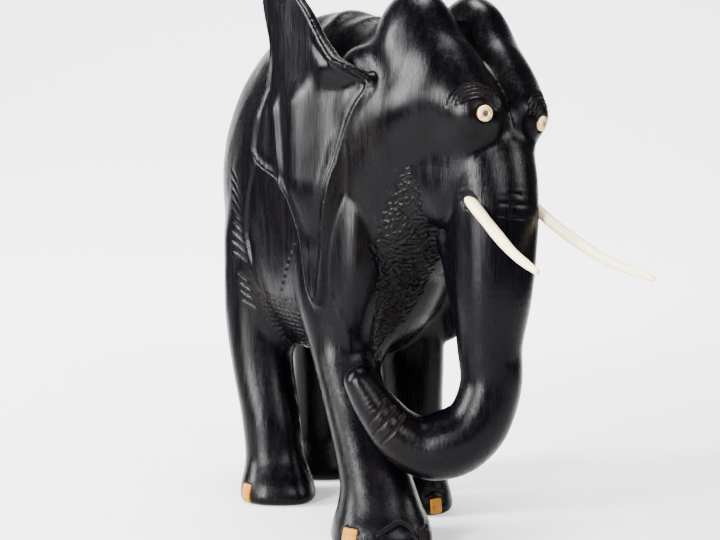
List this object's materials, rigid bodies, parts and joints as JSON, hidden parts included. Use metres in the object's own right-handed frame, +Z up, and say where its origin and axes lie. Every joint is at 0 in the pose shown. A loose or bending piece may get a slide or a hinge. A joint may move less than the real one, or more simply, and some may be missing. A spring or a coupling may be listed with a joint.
{
  "type": "carved wooden elephant figurine",
  "caption": "Carved dark wood elephant in mid stride, trunk curled to its right, with inlaid bone tusks, eyes and toenail plaques.",
  "frame": {"origin": "on the ground, under the middle of the figure's box", "axes": "the elephant faces -Y, its own right side is at -X, +Z up; the longest extent runs along Y"},
  "size_m": [0.1364, 0.3251, 0.317],
  "materials": {
    "ebony": "polished ebony, soft gloss with fine upright grain",
    "tusk_bone": "carved pale bone, lightly polished",
    "eye_bone": "turned bone disc, honey-toned rim",
    "pupil_horn": "dark horn peg",
    "nail_bone": "aged bone plaque, golden with saw marks"
  },
  "bodies": {
    "root": {"body": "ebony", "tusk_right": "tusk_bone", "tusk_left": "tusk_bone", "eye_right": "eye_bone", "eye_left": "eye_bone", "pupil_right": "pupil_horn", "pupil_left": "pupil_horn", "nail_front_right_outer": "nail_bone", "nail_front_left_front": "nail_bone", "nail_front_left_outer": "nail_bone", "nail_rear_right_outer": "nail_bone", "nail_rear_left_outer": "nail_bone"}
  },
  "joints": []
}
